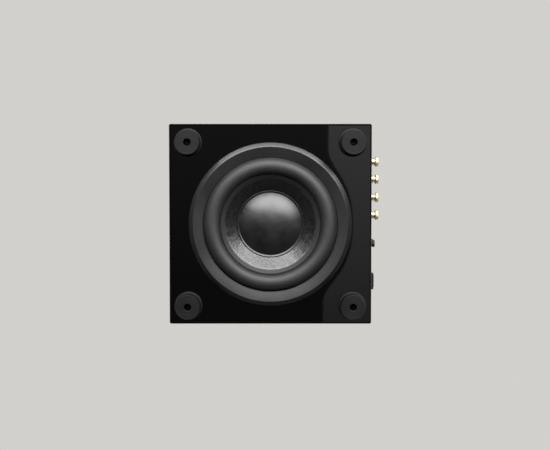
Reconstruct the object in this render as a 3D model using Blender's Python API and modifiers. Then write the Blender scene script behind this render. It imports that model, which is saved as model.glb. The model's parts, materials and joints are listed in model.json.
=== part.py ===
# Powered down-firing subwoofer: lacquered MDF cabinet on four rubber feet, an
# 8-inch-class woofer in the bottom baffle and a plate amplifier in the rear.
# Metres, +Z up. Origin: centre of the bounding box at the feet's soles.
# Front is -Y, the amplifier panel is +Y, the woofer fires towards -Z.
import math

import bmesh
import bpy
from mathutils import Matrix, Vector

MM = 0.001
GAP = 0.3  # clearance between touching pieces, mm

# ---- driving dimensions (mm) ----
CAB_W = 277.0  # along X
CAB_D = 280.0  # along Y
CAB_H = 280.0  # along Z, without feet
PROTRUDE = 15.0  # how far the binding posts stand out of the rear face
FOOT_H = 24.0
WALL = 18.0
BAFFLE_T = 22.0

HX = CAB_W / 2
Y0 = -(CAB_D + PROTRUDE) / 2  # front face
Y1 = Y0 + CAB_D  # rear face
YC = (Y0 + Y1) / 2  # driver axis
Z0 = FOOT_H  # baffle's outer face
Z1 = FOOT_H + CAB_H  # top face

FOOT_X = 112.6
FOOT_Y = 113.3
FOOT_BASE_R = 19.5
FOOT_FACE_R = 17.0
FOOT_HOLE_R = 4.8

RING_R = 113.2  # trim ring outer radius
RING_FLAT_R = 107.0
RING_IN_R = 92.0
RING_T = 6.3  # proud of the baffle
RING_DISH = 2.6  # the ring's face slopes inwards
ROLL_OUT_R = 92.0
ROLL_IN_R = 69.7
ROLL_H = 11.5
LANDING_R = 62.8
CONE_NECK_R = 26.0
NECK_Z = 50.0
CAP_RIM_R = 46.3
CAP_DOME_R = 43.3
CAP_H = 11.7

PLATE_W = 216.0
PLATE_H = 222.0
PLATE_T = 3.0
PLATE_ZC = 164.0
ROW_Z = 94.0  # height of the connector row
POST_X = (86.7, 61.6, 35.4, 10.1)
KNOB_X = -31.3
KNOB_Z = (94.0, 124.0)
PHASE_X = -57.3
INLET_X = -83.2
ROCKER_Z = 128.0
INLET_Z = 88.0

for ob in list(bpy.data.objects):
    bpy.data.objects.remove(ob, do_unlink=True)

scene = bpy.context.scene
PARTS = bpy.data.collections.new("powered_subwoofer")
scene.collection.children.link(PARTS)
CUTS = bpy.data.collections.new("cutters")
scene.collection.children.link(CUTS)

MATS = {}


def material(name, color, rough, metal=0.0):
    if name not in MATS:
        m = bpy.data.materials.new(name)
        m.use_nodes = True
        b = m.node_tree.nodes["Principled BSDF"]
        b.inputs["Base Color"].default_value = (*color, 1.0)
        b.inputs["Roughness"].default_value = rough
        b.inputs["Metallic"].default_value = metal
        MATS[name] = m
    return MATS[name]


LACQUER = ("lacquer", (0.006, 0.006, 0.007), 0.06, 0.0)
RUBBER = ("rubber", (0.03, 0.03, 0.032), 0.6, 0.0)
SATIN = ("satin_black", (0.02, 0.02, 0.021), 0.35, 0.0)
STEEL = ("zinc_steel", (0.6, 0.6, 0.6), 0.3, 1.0)
BLACKSTEEL = ("black_steel", (0.03, 0.03, 0.03), 0.4, 0.8)
GOLD = ("gold", (0.86, 0.62, 0.25), 0.22, 1.0)
FIBRE = ("cone_fibre", (0.05, 0.05, 0.052), 0.7, 0.0)
DOME = ("dust_cap", (0.06, 0.06, 0.062), 0.35, 0.0)


def finish(ob, spec, cutter=False, smooth=True):
    """Places an object in its collection with its own material."""
    if cutter:
        CUTS.objects.link(ob)
        ob.hide_render = True
        ob.display_type = "WIRE"
        return ob
    PARTS.objects.link(ob)
    m = material(*spec).copy()
    m.name = ob.name + "_" + spec[0]
    ob.data.materials.clear()
    ob.data.materials.append(m)
    if smooth:
        ob.data.shade_smooth()
        ob.data.set_sharp_from_angle(angle=math.radians(35))
    return ob


def box(name, x, y, z, spec=None, cutter=False):
    """A box between two limits on each axis, in mm, with its origin at its centre."""
    bm = bmesh.new()
    bmesh.ops.create_cube(bm, size=1.0)
    size = Vector((x[1] - x[0], y[1] - y[0], z[1] - z[0])) * MM
    bmesh.ops.scale(bm, vec=size, verts=bm.verts)
    me = bpy.data.meshes.new(name)
    bm.to_mesh(me)
    bm.free()
    ob = bpy.data.objects.new(name, me)
    ob.location = Vector(((x[0] + x[1]) / 2, (y[0] + y[1]) / 2, (z[0] + z[1]) / 2)) * MM
    return finish(ob, spec, cutter, smooth=False)


def turned(name, profile, steps, spec=None, at=(0.0, 0.0, 0.0), axis="Z", cutter=False):
    """A Screw of a closed or axis-to-axis profile of (radius, height) in mm."""
    pts = list(profile)
    on_axis = abs(pts[0][0]) < 1e-9 and abs(pts[-1][0]) < 1e-9
    area = sum(
        pts[i][0] * pts[(i + 1) % len(pts)][1] - pts[(i + 1) % len(pts)][0] * pts[i][1]
        for i in range(len(pts))
    )
    if area > 0:  # anticlockwise climbs the outer side
        pts.reverse()
    me = bpy.data.meshes.new(name)
    edges = [(i, i + 1) for i in range(len(pts) - 1)]
    if not on_axis:
        edges.append((len(pts) - 1, 0))
    me.from_pydata([(r * MM, 0.0, h * MM) for r, h in pts], edges, [])
    ob = bpy.data.objects.new(name, me)
    ob.location = Vector(at) * MM
    if axis == "Y":
        ob.rotation_euler = (-math.pi / 2, 0.0, 0.0)
    mod = ob.modifiers.new("turn", "SCREW")
    mod.steps = steps
    mod.render_steps = steps
    mod.use_merge_vertices = True
    mod.merge_threshold = 0.00001
    mod.use_smooth_shade = True
    mod.use_normal_calculate = False
    return finish(ob, spec, cutter)


def prism(name, outline, depth, spec=None, at=(0.0, 0.0, 0.0), rot=(0.0, 0.0, 0.0), cutter=False):
    """A flat outline in mm, as a 2D curve, made solid by half its depth each way."""
    cu = bpy.data.curves.new(name, "CURVE")
    cu.dimensions = "2D"
    cu.fill_mode = "BOTH"
    cu.extrude = depth * MM / 2
    sp = cu.splines.new("POLY")
    sp.points.add(len(outline) - 1)
    for p, (x, y) in zip(sp.points, outline):
        p.co = (x * MM, y * MM, 0.0, 1.0)
    sp.use_cyclic_u = True
    tmp = bpy.data.objects.new(name + "_curve", cu)
    scene.collection.objects.link(tmp)
    tmp.location = Vector(at) * MM
    tmp.rotation_euler = rot
    bpy.context.view_layer.update()
    me = bpy.data.meshes.new_from_object(tmp.evaluated_get(bpy.context.evaluated_depsgraph_get()))
    bm = bmesh.new()
    bm.from_mesh(me)
    bmesh.ops.remove_doubles(bm, verts=bm.verts, dist=0.00001)
    bmesh.ops.recalc_face_normals(bm, faces=bm.faces)
    bm.to_mesh(me)
    bm.free()
    ob = bpy.data.objects.new(name, me)
    ob.matrix_world = tmp.matrix_world.copy()
    bpy.data.objects.remove(tmp, do_unlink=True)
    return finish(ob, spec, cutter, smooth=False)


def cut(ob, cutter, mode="DIFFERENCE"):
    mod = ob.modifiers.new("cut_" + cutter.name, "BOOLEAN")
    mod.operation = mode
    mod.object = cutter
    mod.solver = "EXACT"
    return mod


def group(name, members):
    """Joins separate cutters into one cutter object, in world space."""
    bm = bmesh.new()
    bpy.context.view_layer.update()
    deps = bpy.context.evaluated_depsgraph_get()
    for ob in members:
        me = bpy.data.meshes.new_from_object(ob.evaluated_get(deps))
        me.transform(ob.matrix_world)
        bm.from_mesh(me)
        bpy.data.meshes.remove(me)
    me = bpy.data.meshes.new(name)
    bm.to_mesh(me)
    bm.free()
    for ob in members:
        bpy.data.objects.remove(ob, do_unlink=True)
    return finish(bpy.data.objects.new(name, me), None, cutter=True)


def arc(cr, ch, rr, rh, a0, a1, n):
    """Points on an ellipse arc, as (radius, height)."""
    return [
        (
            cr + rr * math.cos(math.radians(a0 + (a1 - a0) * i / n)),
            ch + rh * math.sin(math.radians(a0 + (a1 - a0) * i / n)),
        )
        for i in range(n + 1)
    ]


# ---- cabinet ----
zb = Z0 + BAFFLE_T + GAP  # walls start above the baffle
zt = Z1 - WALL - GAP  # and stop under the top panel
xi = HX - WALL - GAP
box("top_panel", (-HX, HX), (Y0, Y1), (Z1 - WALL, Z1), LACQUER)
baffle = box("bottom_baffle", (-HX, HX), (Y0, Y1), (Z0, Z0 + BAFFLE_T), LACQUER)
box("left_side_panel", (-HX, -HX + WALL), (Y0, Y1), (zb, zt), LACQUER)
box("right_side_panel", (HX - WALL, HX), (Y0, Y1), (zb, zt), LACQUER)
box("front_panel", (-xi, xi), (Y0, Y0 + WALL), (zb, zt), LACQUER)
rear = box("rear_panel", (-xi, xi), (Y1 - WALL, Y1), (zb, zt), LACQUER)

brace = box("internal_brace", (-xi, xi), (Y0 + WALL + GAP, 34.0), (188.0, 200.0), ("mdf", (0.35, 0.25, 0.16), 0.8))
cut(brace, box("brace_window", (-78.0, 78.0), (Y0 + 46.0, 8.0), (180.0, 210.0), cutter=True))
box("damping_wadding", (-105.0, 105.0), (Y0 + 26.0, 52.0), (zt - 32.0, zt - GAP), ("wadding", (0.8, 0.8, 0.76), 0.9))

# ---- driver: basket, seals and screws ----
FL0 = Z0 + GAP  # flange front
FL1 = FL0 + 6.0
cut(
    baffle,
    turned(
        "driver_hole",
        [(0, Z0 - 5), (109.0, Z0 - 5), (109.0, FL1 + 2.1), (97.8, FL1 + 2.1), (97.8, Z0 + BAFFLE_T + 5), (0, Z0 + BAFFLE_T + 5)],
        40,
        at=(0, YC, 0),
        cutter=True,
    ),
)
basket = turned(
    "driver_basket",
    [
        (90.0, FL0),
        (108.3, FL0),
        (108.3, FL1),
        (96.8, FL1),
        (73.0, 61.0),
        (67.0, 67.0),
        (61.0, 87.7),
        (36.0, 87.7),
        (36.0, 84.0),
        (56.0, 84.0),
        (57.0, 65.0),
        (57.0, 61.5),
        (68.5, 61.5),
        (88.0, 33.0),
    ],
    40,
    ("cast_frame", (0.04, 0.04, 0.04), 0.5, 0.6),
    at=(0, YC, 0),
)
for i in range(3):
    w = box("basket_window_%d" % i, (-120.0, 120.0), (-21.0, 21.0), (36.5, 57.0), cutter=True)
    w.location.y = YC * MM
    w.rotation_euler = (0, 0, math.radians(30 + 60 * i))
    cut(basket, w)
gasket = turned(
    "driver_gasket",
    [(98.3, FL1 + GAP), (108.3, FL1 + GAP), (108.3, FL1 + 1.8), (98.3, FL1 + 1.8)],
    40,
    ("foam", (0.02, 0.02, 0.02), 0.9),
    at=(0, YC, 0),
)
SCREW_PCR = 102.7
holes = []
for i in range(4):
    a = math.radians(45 + 90 * i)
    p = (SCREW_PCR * math.cos(a), YC + SCREW_PCR * math.sin(a), 0.0)
    turned(
        "driver_screw_%d" % (i + 1),
        [(0, FL0 + 0.3), (4.2, FL0 + 0.3), (4.2, FL0 + 3.0), (2.1, FL0 + 3.0), (2.1, 42.0), (0, 42.0)],
        10,
        BLACKSTEEL,
        at=p,
    )
    holes.append(
        turned(
            "screw_hole_%d" % i,
            [(0, Z0 - 3), (4.7, Z0 - 3), (4.7, FL0 + 3.3), (2.5, FL0 + 3.3), (2.5, 42.5), (0, 42.5)],
            10,
            at=p,
            cutter=True,
        )
    )
holes = group("driver_screw_holes", holes)
for ob in (basket, gasket, baffle):
    cut(ob, holes)

ringf = Z0 - RING_T
turned(
    "trim_ring",
    [
        (RING_IN_R + 0.8, ringf + RING_DISH),
        (RING_FLAT_R, ringf),
        (RING_R - 0.9, ringf + 4.1),
        (RING_R, ringf + 5.2),
        (RING_R, Z0 - GAP),
        (98.0, Z0 - GAP),
        (98.0, 22.0),
        (RING_IN_R, 22.0),
        (RING_IN_R, ringf + RING_DISH + 0.8),
    ],
    48,
    SATIN,
    at=(0, YC, 0),
)

# ---- moving assembly: surround, cone, cap, former, winding, spider ----
RT = 1.2  # rubber thickness
root_z = 22.4  # front face of both rubber lips
mid = (ROLL_OUT_R - 0.6 + ROLL_IN_R) / 2
hr = (ROLL_OUT_R - 0.6 - ROLL_IN_R) / 2
outer = arc(mid, root_z, hr, ROLL_H, 0, -180, 8)
inner = arc(mid, root_z + RT, hr - RT, ROLL_H, -180, 0, 6)
turned(
    "surround",
    [(97.6, root_z + RT), (97.6, root_z)] + outer + [(LANDING_R, root_z), (LANDING_R, root_z + RT)] + inner,
    40,
    RUBBER,
    at=(0, YC, 0),
)
CT = 1.4
LIP_Z = root_z + RT + GAP  # front of the cone's lip
slope = (NECK_Z - LIP_Z) / (LANDING_R - CONE_NECK_R)
cone_front = [(69.0, LIP_Z), (LANDING_R, LIP_Z), (44.0, LIP_Z + slope * (LANDING_R - 44.0)), (CONE_NECK_R, NECK_Z)]
cone_back = [(r + (0.9 if 0 < i < 3 else 0.0), z + CT * (1.35 if 0 < i < 3 else 1.2)) for i, (r, z) in enumerate(cone_front)]
turned("cone", cone_front + cone_back[::-1], 44, FIBRE, at=(0, YC, 0))


def cone_z(r):
    return LIP_Z + slope * (LANDING_R - r)


cz = cone_z(CAP_RIM_R) - GAP - 0.15
R = (CAP_DOME_R**2 + CAP_H**2) / (2 * CAP_H)
a_end = math.asin(CAP_DOME_R / R)
base = cone_z(CAP_DOME_R) - 1.9
dome_out = [(R * math.sin(a_end * i / 6), base - CAP_H + R * (1 - math.cos(a_end * i / 6))) for i in range(7)]
dome_in = [(R * math.sin(a_end * i / 6) * 0.965, base - CAP_H + 1.3 + R * (1 - math.cos(a_end * i / 6)) * 0.985) for i in range(7)]
turned(
    "dust_cap",
    dome_out + [(CAP_RIM_R - 1.6, base - 0.9), (CAP_RIM_R, base - 1.0), (CAP_RIM_R, cz), (CAP_DOME_R - 0.6, cone_z(CAP_DOME_R - 0.6) - GAP - 0.2)] + dome_in[:-1][::-1],
    32,
    DOME,
    at=(0, YC, 0),
)
turned("voice_coil_former", [(25.0, NECK_Z - 2.0), (25.6, NECK_Z - 2.0), (25.6, 105.0), (25.0, 105.0)], 24, ("former", (0.75, 0.75, 0.76), 0.35, 1.0), at=(0, YC, 0))
turned("voice_coil_winding", [(25.9, 83.0), (27.2, 83.0), (27.2, 104.0), (25.9, 104.0)], 24, ("copper", (0.7, 0.32, 0.18), 0.35, 1.0), at=(0, YC, 0))
wave = [(26.0 + 33.0 * i / 8, 60.0 + 1.6 * math.sin(math.pi * i / 2)) for i in range(9)]
turned(
    "spider",
    wave + [(66.0, 60.0), (66.0, 60.9)] + [(r, z + 0.9) for r, z in wave[::-1]],
    28,
    ("spider_cloth", (0.62, 0.45, 0.2), 0.85),
    at=(0, YC, 0),
)

# ---- motor ----
turned("magnet_top_plate", [(28.2, 88.0), (62.0, 88.0), (62.0, 96.0), (28.2, 96.0)], 28, STEEL, at=(0, YC, 0))
turned("magnet_ring", [(33.0, 96.3), (68.0, 96.3), (68.0, 121.3), (33.0, 121.3)], 28, ("ferrite", (0.05, 0.05, 0.055), 0.6), at=(0, YC, 0))
turned(
    "pole_yoke",
    [(9.0, 87.0), (23.8, 87.0), (23.8, 121.6), (64.0, 121.6), (64.0, 127.0), (60.0, 130.6), (9.0, 130.6)],
    28,
    STEEL,
    at=(0, YC, 0),
)

# ---- feet ----
foot_holes = []
n = 0
for sx in (1, -1):
    for sy in (-1, 1):
        n += 1
        p = (sx * FOOT_X, YC + sy * FOOT_Y, 0.0)
        turned(
            "foot_%d" % n,
            [
                (FOOT_HOLE_R, 0.0),
                (FOOT_FACE_R - 0.9, 0.0),
                (FOOT_FACE_R, 0.9),
                (FOOT_BASE_R - 1.8, Z0 - 4.6),
                (FOOT_BASE_R, Z0 - 3.9),
                (FOOT_BASE_R, Z0 - GAP),
                (2.6, Z0 - GAP),
                (2.6, 11.0),
                (FOOT_HOLE_R, 11.0),
            ],
            20,
            RUBBER,
            at=p,
        )
        turned("foot_screw_%d" % n, [(0, 7.8), (4.2, 7.8), (4.2, 10.7), (2.2, 10.7), (2.2, 41.0), (0, 41.0)], 10, BLACKSTEEL, at=p)
        foot_holes.append(turned("foot_hole_%d" % n, [(0, Z0 - 2), (2.6, Z0 - 2), (2.6, 41.5), (0, 41.5)], 10, at=p, cutter=True))
cut(baffle, group("foot_screw_holes", foot_holes))

# ---- amplifier plate ----
pz0, pz1 = PLATE_ZC - PLATE_H / 2, PLATE_ZC + PLATE_H / 2
px = PLATE_W / 2
YP0 = Y1 - PLATE_T  # plate's inner face
cut(rear, box("amp_cutout", (-px + 10, px - 10), (Y1 - 40, Y1 + 10), (pz0 + 10, pz1 - 10), cutter=True))
cut(rear, box("amp_rebate", (-px - 0.4, px + 0.4), (YP0 - 2.1, Y1 + 5), (pz0 - 0.4, pz1 + 0.4), cutter=True))
plate = box("amp_plate", (-px, px), (YP0, Y1), (pz0, pz1), ("plate_black", (0.03, 0.03, 0.032), 0.45, 0.5))
seal = box("amp_gasket", (-px, px), (YP0 - 1.8, YP0 - GAP), (pz0, pz1), ("foam", (0.02, 0.02, 0.02), 0.9))
cut(seal, box("gasket_window", (-px + 10, px - 10), (YP0 - 20, YP0 + 10), (pz0 + 10, pz1 - 10), cutter=True))

ph = []  # holes through the plate
sh = []  # screw holes through plate, gasket and panel
n = 0
for sx in (-1, 1):
    for z in (pz0 + 5.0, PLATE_ZC, pz1 - 5.0):
        n += 1
        p = (sx * (px - 5.0), Y1, z)
        turned("amp_screw_%d" % n, [(0, 2.3), (2.4, 2.1), (3.7, 1.1), (3.9, GAP), (1.8, GAP), (1.8, -14.0), (0, -14.0)], 12, BLACKSTEEL, at=p, axis="Y")
        sh.append(turned("amp_screw_hole_%d" % n, [(0, 5), (2.1, 5), (2.1, -14.5), (0, -14.5)], 12, at=p, axis="Y", cutter=True))
sh = group("amp_screw_holes", sh)
for ob in (plate, seal, rear):
    cut(ob, sh)

for i, x in enumerate(POST_X):
    turned(
        "binding_post_%d" % (i + 1),
        [
            (2.05, 14.2),
            (3.0, 14.2),
            (3.0, 3.2),
            (6.3, 3.2),
            (6.6, 2.9),
            (6.6, GAP),
            (3.6, GAP),
            (3.6, -9.0),
            (1.6, -9.0),
            (1.6, -16.0),
            (0.0, -16.0),
            (0.0, 1.0),
            (2.05, 1.0),
        ],
        14,
        GOLD,
        at=(x, Y1, ROW_Z),
        axis="Y",
    )
    turned(
        "post_cap_%d" % (i + 1),
        [
            (3.35, 15.0),
            (6.4, 15.0),
            (7.0, 14.4),
            (7.0, 10.9),
            (6.6, 10.5),
            (5.4, 10.3),
            (5.4, 4.0),
            (5.0, 3.6),
            (3.35, 3.6),
        ],
        16,
        GOLD,
        at=(x, Y1, ROW_Z),
        axis="Y",
    )
    ph.append(turned("post_hole_%d" % i, [(0, 5), (3.9, 5), (3.9, -8), (0, -8)], 16, at=(x, Y1, ROW_Z), axis="Y", cutter=True))

# one small board carries both pots and the phase switch
control = box("control_board", (KNOB_X - 36.0, KNOB_X + 10.0), (YP0 - 13.4, YP0 - 12.0), (84.0, 136.0), STEEL)
for name, z in zip(("gain", "crossover"), KNOB_Z):
    pot = turned(
        name + "_pot",
        [(0, 7.0), (2.0, 7.0), (2.0, 2.0), (3.3, 2.0), (3.3, -PLATE_T - GAP), (8.0, -PLATE_T - GAP), (8.0, -PLATE_T - 12.6), (0, -PLATE_T - 12.6)],
        16,
        at=(KNOB_X, Y1, z),
        axis="Y",
        cutter=True,
    )
    cut(control, pot, "UNION")
    knob = turned(
        name + "_knob",
        [(0, 10.1), (4.8, 10.1), (5.1, 9.8), (5.1, 6.8), (4.2, 6.4), (4.2, 2.4), (2.35, 2.4), (2.35, 7.3), (0, 7.3)],
        18,
        SATIN,
        at=(KNOB_X, Y1, z),
        axis="Y",
    )
    nick = box(name + "_pointer", (KNOB_X - 0.5, KNOB_X + 0.5), (Y1 + 9.4, Y1 + 12), (z + 1.5, z + 6.5), cutter=True)
    cut(knob, nick)
    ph.append(turned(name + "_hole", [(0, 5), (3.6, 5), (3.6, -8), (0, -8)], 16, at=(KNOB_X, Y1, z), axis="Y", cutter=True))

switch = turned(
    "phase_switch",
    [(0, 1.6), (2.7, 1.6), (2.7, -PLATE_T - GAP), (6.0, -PLATE_T - GAP), (6.0, -PLATE_T - 12.6), (0, -PLATE_T - 12.6)],
    12,
    at=(PHASE_X, Y1, ROW_Z),
    axis="Y",
    cutter=True,
)
cut(control, switch, "UNION")
ph.append(turned("phase_hole", [(0, 5), (3.0, 5), (3.0, -8), (0, -8)], 16, at=(PHASE_X, Y1, ROW_Z), axis="Y", cutter=True))
PIVOT_Y = Y1 + 1.0
lever = turned(
    "phase_switch_lever",
    [(0, 5.2), (0.9, 4.9), (1.35, 4.1), (0.95, 1.1), (0, 1.1)],
    12,
    STEEL,
    at=(PHASE_X, PIVOT_Y, ROW_Z),
    axis="Y",
)
lever.rotation_euler = (-math.pi / 2 + math.radians(12), 0.0, 0.0)
cut(plate, group("plate_round_holes", ph))

# rocker switch: frame in the plate and a rocker turning about Z
ix = INLET_X
housing = box("rocker_housing", (ix - 11.6, ix + 11.6), (Y1 + GAP, Y1 + 5.2), (ROCKER_Z - 8.6, ROCKER_Z + 8.6), SATIN)
tube = box("rocker_tube", (ix - 10.4, ix + 10.4), (Y1 - 17.0, Y1 + 1.2), (ROCKER_Z - 7.4, ROCKER_Z + 7.4), cutter=True)
cut(housing, tube, "UNION")
cut(housing, box("rocker_bay", (ix - 9.9, ix + 9.9), (Y1 - 3.4, Y1 + 12), (ROCKER_Z - 6.6, ROCKER_Z + 6.6), cutter=True))
cut(plate, box("rocker_slot", (ix - 10.8, ix + 10.8), (Y1 - 12, Y1 + 6), (ROCKER_Z - 7.8, ROCKER_Z + 7.8), cutter=True))
rocker_outline = [(-9.0, 0.2), (-9.0, 5.6), (-8.4, 5.9), (0.0, 4.5), (8.4, 5.9), (9.0, 5.6), (9.0, 0.2), (4.6, -3.2), (-4.6, -3.2)]
rocker = prism(
    "power_rocker",
    rocker_outline,
    12.4,
    SATIN,
    at=(ix, Y1 + 2.6, ROCKER_Z),
    rot=(0.0, 0.0, math.radians(6)),
)

# fused mains inlet: one body with the socket cavity above a fuse drawer
IZ0, IZ1 = INLET_Z - 22.5, INLET_Z + 19.0
inlet = box("mains_inlet", (ix - 11.6, ix + 11.6), (Y1 + GAP, Y1 + 6.2), (IZ0, IZ1), SATIN)
cut(inlet, box("inlet_tube", (ix - 10.4, ix + 10.4), (Y1 - 24.0, Y1 + 1.5), (IZ0 + 1.2, IZ1 - 1.2), cutter=True), "UNION")
CAV_Z = (INLET_Z - 8.4, INLET_Z + 16.2)
cut(inlet, box("inlet_cavity", (ix - 8.3, ix + 8.3), (Y1 - 13.0, Y1 + 11), CAV_Z, cutter=True))
DR_Z = (INLET_Z - 20.2, INLET_Z - 11.4)
cut(inlet, box("drawer_bay", (ix - 9.0, ix + 9.0), (Y1 - 21.0, Y1 + 11), DR_Z, cutter=True))
cut(plate, box("inlet_slot", (ix - 10.8, ix + 10.8), (Y1 - 12, Y1 + 6), (IZ0 + 0.8, IZ1 - 0.8), cutter=True))
pc = (CAV_Z[0] + CAV_Z[1]) / 2
contacts = box("inlet_contacts", (ix - 7.0, ix + 7.0), (Y1 - 12.7, Y1 - 11.0), (pc - 10.0, pc + 10.0), GOLD)
for i, (dx, dz) in enumerate(((-2.3, -7.0), (-2.3, 7.0), (2.3, 0.0))):
    cut(
        contacts,
        box("inlet_blade_%d" % i, (ix + dx - 2.0, ix + dx + 2.0), (Y1 - 12.0, Y1 + 3.9), (pc + dz - 1.0, pc + dz + 1.0), cutter=True),
        "UNION",
    )
drawer = box("fuse_drawer", (ix - 8.6, ix + 8.6), (Y1 - 20.5, Y1 + 6.9), (DR_Z[0] + 0.4, DR_Z[1] - 0.4), SATIN)
cut(drawer, box("fuse_trough", (ix - 3.2, ix + 3.2), (Y1 - 18.5, Y1 + 1.0), (DR_Z[1] - 6.2, DR_Z[1] + 3), cutter=True))
cut(drawer, box("drawer_finger_notch", (ix - 4.0, ix + 4.0), (Y1 + 5.5, Y1 + 9.0), (DR_Z[0] + 3.2, DR_Z[1] - 3.2), cutter=True))

# ---- amplifier internals, on the back of the plate ----
yb = YP0 - GAP
base_y = yb - 4.0
fins = [(8.0, yb), (92.0, yb), (92.0, yb - 24.0)]
for i in range(6):
    x = 92.0 - i * 14.0
    fins += [(x - 4.0, yb - 24.0), (x - 4.0, base_y)]
    if i < 5:
        fins += [(x - 14.0, base_y), (x - 14.0, yb - 24.0)]
fins += [(8.0, base_y)]
prism("heat_sink", fins[::-1], 56.0, ("aluminium", (0.7, 0.7, 0.72), 0.4, 1.0), at=(0, 0, 236.0))
board = box("amp_board", (-66.0, 92.0), (YP0 - 26.0, YP0 - 24.4), (112.0, 180.0), ("board", (0.03, 0.2, 0.08), 0.5))
for i, x in enumerate((28.0, 58.0)):
    cut(
        board,
        turned("capacitor_%d" % i, [(0, -25.0), (10.4, -25.0), (10.4, -54.0), (9.6, -55.0), (0, -55.0)], 16, at=(x, YP0, 148.0), axis="Y", cutter=True),
        "UNION",
    )
turned(
    "toroidal_transformer",
    [(11.0, -1.0), (14.0, 0.0), (36.0, 0.0), (39.0, -3.0), (39.0, -31.0), (36.0, -34.0), (14.0, -34.0), (11.0, -31.0)],
    20,
    ("winding_tape", (0.75, 0.6, 0.1), 0.45),
    at=(-50.0, YP0 - GAP, 226.0),
    axis="Y",
)

bpy.context.view_layer.update()
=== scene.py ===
import json
import math

import bmesh
import bpy
import numpy as np
from mathutils import Matrix, Vector

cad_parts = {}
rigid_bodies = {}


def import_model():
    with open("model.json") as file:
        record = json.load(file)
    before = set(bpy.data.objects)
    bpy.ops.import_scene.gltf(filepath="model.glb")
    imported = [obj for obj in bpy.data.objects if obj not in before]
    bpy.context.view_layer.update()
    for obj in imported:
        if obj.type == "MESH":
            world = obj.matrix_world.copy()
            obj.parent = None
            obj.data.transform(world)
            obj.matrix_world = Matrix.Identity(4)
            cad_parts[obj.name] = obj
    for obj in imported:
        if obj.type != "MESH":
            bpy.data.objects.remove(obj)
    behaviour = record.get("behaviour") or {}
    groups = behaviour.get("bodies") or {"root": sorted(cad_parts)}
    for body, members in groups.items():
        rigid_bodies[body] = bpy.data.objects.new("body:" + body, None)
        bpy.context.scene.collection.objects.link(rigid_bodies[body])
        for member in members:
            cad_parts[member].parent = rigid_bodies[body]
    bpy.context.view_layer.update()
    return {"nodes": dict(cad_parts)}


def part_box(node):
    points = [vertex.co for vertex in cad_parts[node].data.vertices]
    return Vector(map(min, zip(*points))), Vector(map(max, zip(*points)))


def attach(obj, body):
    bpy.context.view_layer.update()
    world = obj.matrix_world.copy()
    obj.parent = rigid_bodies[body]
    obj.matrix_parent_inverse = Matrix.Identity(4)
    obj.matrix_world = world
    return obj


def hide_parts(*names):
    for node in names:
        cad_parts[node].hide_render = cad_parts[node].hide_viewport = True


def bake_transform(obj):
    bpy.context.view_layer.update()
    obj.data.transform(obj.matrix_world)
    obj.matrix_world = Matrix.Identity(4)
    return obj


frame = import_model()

scene = bpy.context.scene
MM = 0.001
ROOT = "enclosure"
NODES = frame["nodes"]


def mmbox(node):
    lo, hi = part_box(node)
    return lo / MM, hi / MM


# ------------------------------------------------------------------ key places, all from the frame
cab_lo, _t = mmbox("bottom_baffle")
_t, cab_hi = mmbox("top_panel")
HX = cab_hi.x
Y0, Y1 = cab_lo.y, cab_hi.y
Z0, Z1 = cab_lo.z, cab_hi.z
_a, _b = mmbox("trim_ring")
CX, CY = (_a.x + _b.x) / 2, (_a.y + _b.y) / 2
RING_R = (_b.x - _a.x) / 2
RING_Z = _a.z  # the ring's front face
_a, _b = mmbox("surround")
ROLL_Z = _a.z  # the roll's crown
_a, _b = mmbox("cone")
CONE_LIP = _a.z
CONE_NECK = _b.z
_a, _b = mmbox("dust_cap")
CAP_R = (_b.x - _a.x) / 2
CAP_Z = _a.z
PLATE_LO, PLATE_HI = mmbox("amp_plate")


# ------------------------------------------------------------------ camera
def look(obj, target):
    d = Vector(target) - obj.location
    obj.rotation_mode = "QUATERNION"
    obj.rotation_quaternion = d.to_track_quat("-Z", "Y")


cam_data = bpy.data.cameras.new("camera")
cam = bpy.data.objects.new("camera", cam_data)
scene.collection.objects.link(cam)
scene.camera = cam
cam_data.sensor_width = 36.0
DIST = 1.55
F_PX = 0.7237 * DIST * 1000
cam_data.lens = F_PX / 550.0 * 36.0
TILT = math.radians(2.9)
AIM = Vector((-1.0 * MM, CY * MM + 6.35 * MM, Z0 * MM))
back = Vector((math.sin(TILT), 0.0, -math.cos(TILT)))
cam.location = AIM + back * DIST
# up in the view is +X and right is +Y
zc = back.normalized()
yc = Vector((1, 0, 0)) - zc * zc.x
yc.normalize()
xc = yc.cross(zc)
cam.rotation_mode = "QUATERNION"
cam.rotation_quaternion = Matrix((xc, yc, zc)).transposed().to_quaternion()
cam_data.clip_start = 0.02
cam_data.clip_end = 60.0


# ------------------------------------------------------------------ material tools
def new_mat(name, color, rough, metal=0.0, ior=1.5, coat=0.0, coat_rough=0.05):
    m = bpy.data.materials.new(name)
    m.use_nodes = True
    nt = m.node_tree
    b = nt.nodes["Principled BSDF"]
    b.inputs["Base Color"].default_value = (*color, 1.0)
    b.inputs["Roughness"].default_value = rough
    b.inputs["Metallic"].default_value = metal
    b.inputs["IOR"].default_value = ior
    b.inputs["Coat Weight"].default_value = coat
    b.inputs["Coat Roughness"].default_value = coat_rough
    return m, nt, b


def coords(nt, scale=(1.0, 1.0, 1.0), loc=(0.0, 0.0, 0.0)):
    tc = nt.nodes.new("ShaderNodeTexCoord")
    mp = nt.nodes.new("ShaderNodeMapping")
    mp.inputs["Scale"].default_value = scale
    mp.inputs["Location"].default_value = loc
    nt.links.new(tc.outputs["Object"], mp.inputs["Vector"])
    return mp.outputs["Vector"]


def noise(nt, vec, scale, detail=3.0, rough=0.5, distort=0.0):
    n = nt.nodes.new("ShaderNodeTexNoise")
    n.inputs["Scale"].default_value = scale
    n.inputs["Detail"].default_value = detail
    n.inputs["Roughness"].default_value = rough
    n.inputs["Distortion"].default_value = distort
    nt.links.new(vec, n.inputs["Vector"])
    return n.outputs["Fac"]


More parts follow.
